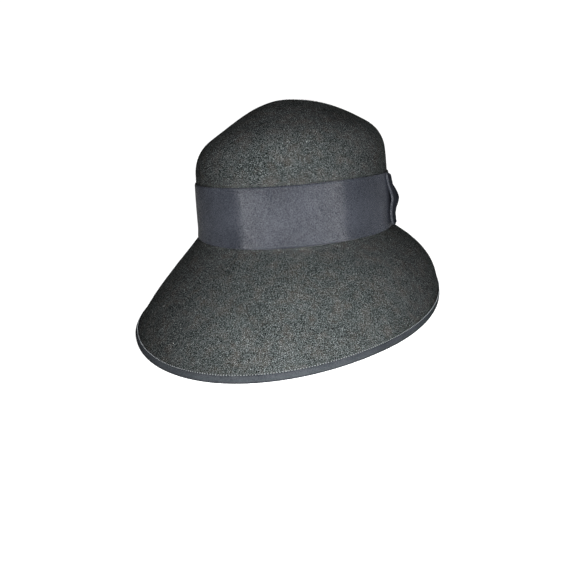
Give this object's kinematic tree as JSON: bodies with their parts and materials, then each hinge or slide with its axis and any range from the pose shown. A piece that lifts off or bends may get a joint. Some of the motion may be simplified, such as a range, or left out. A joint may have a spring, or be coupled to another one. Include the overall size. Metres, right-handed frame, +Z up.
{
  "type": "cloche hat",
  "caption": "Felt cloche hat with a peaked crown, a long sloping front brim, a wide ribbed ribbon band, a flat side bow and a ribbon-bound edge",
  "frame": {"origin": "centre of the hat's bounding box in plan, on the surface that its rim rests on", "axes": "+Z up from the resting surface, -Y towards the front of the hat, +X towards the wearer's left, where the bow is"},
  "size_m": [0.2584, 0.309, 0.1684],
  "materials": {
    "felt": "brushed wool felt",
    "ribbon": "ribbed ribbon with a soft sheen"
  },
  "bodies": {
    "root": {"felt_body": "felt", "crown_band": "ribbon", "brim_binding": "ribbon", "bow_front_loop": "ribbon", "bow_back_loop": "ribbon", "bow_knot": "ribbon"}
  },
  "joints": []
}
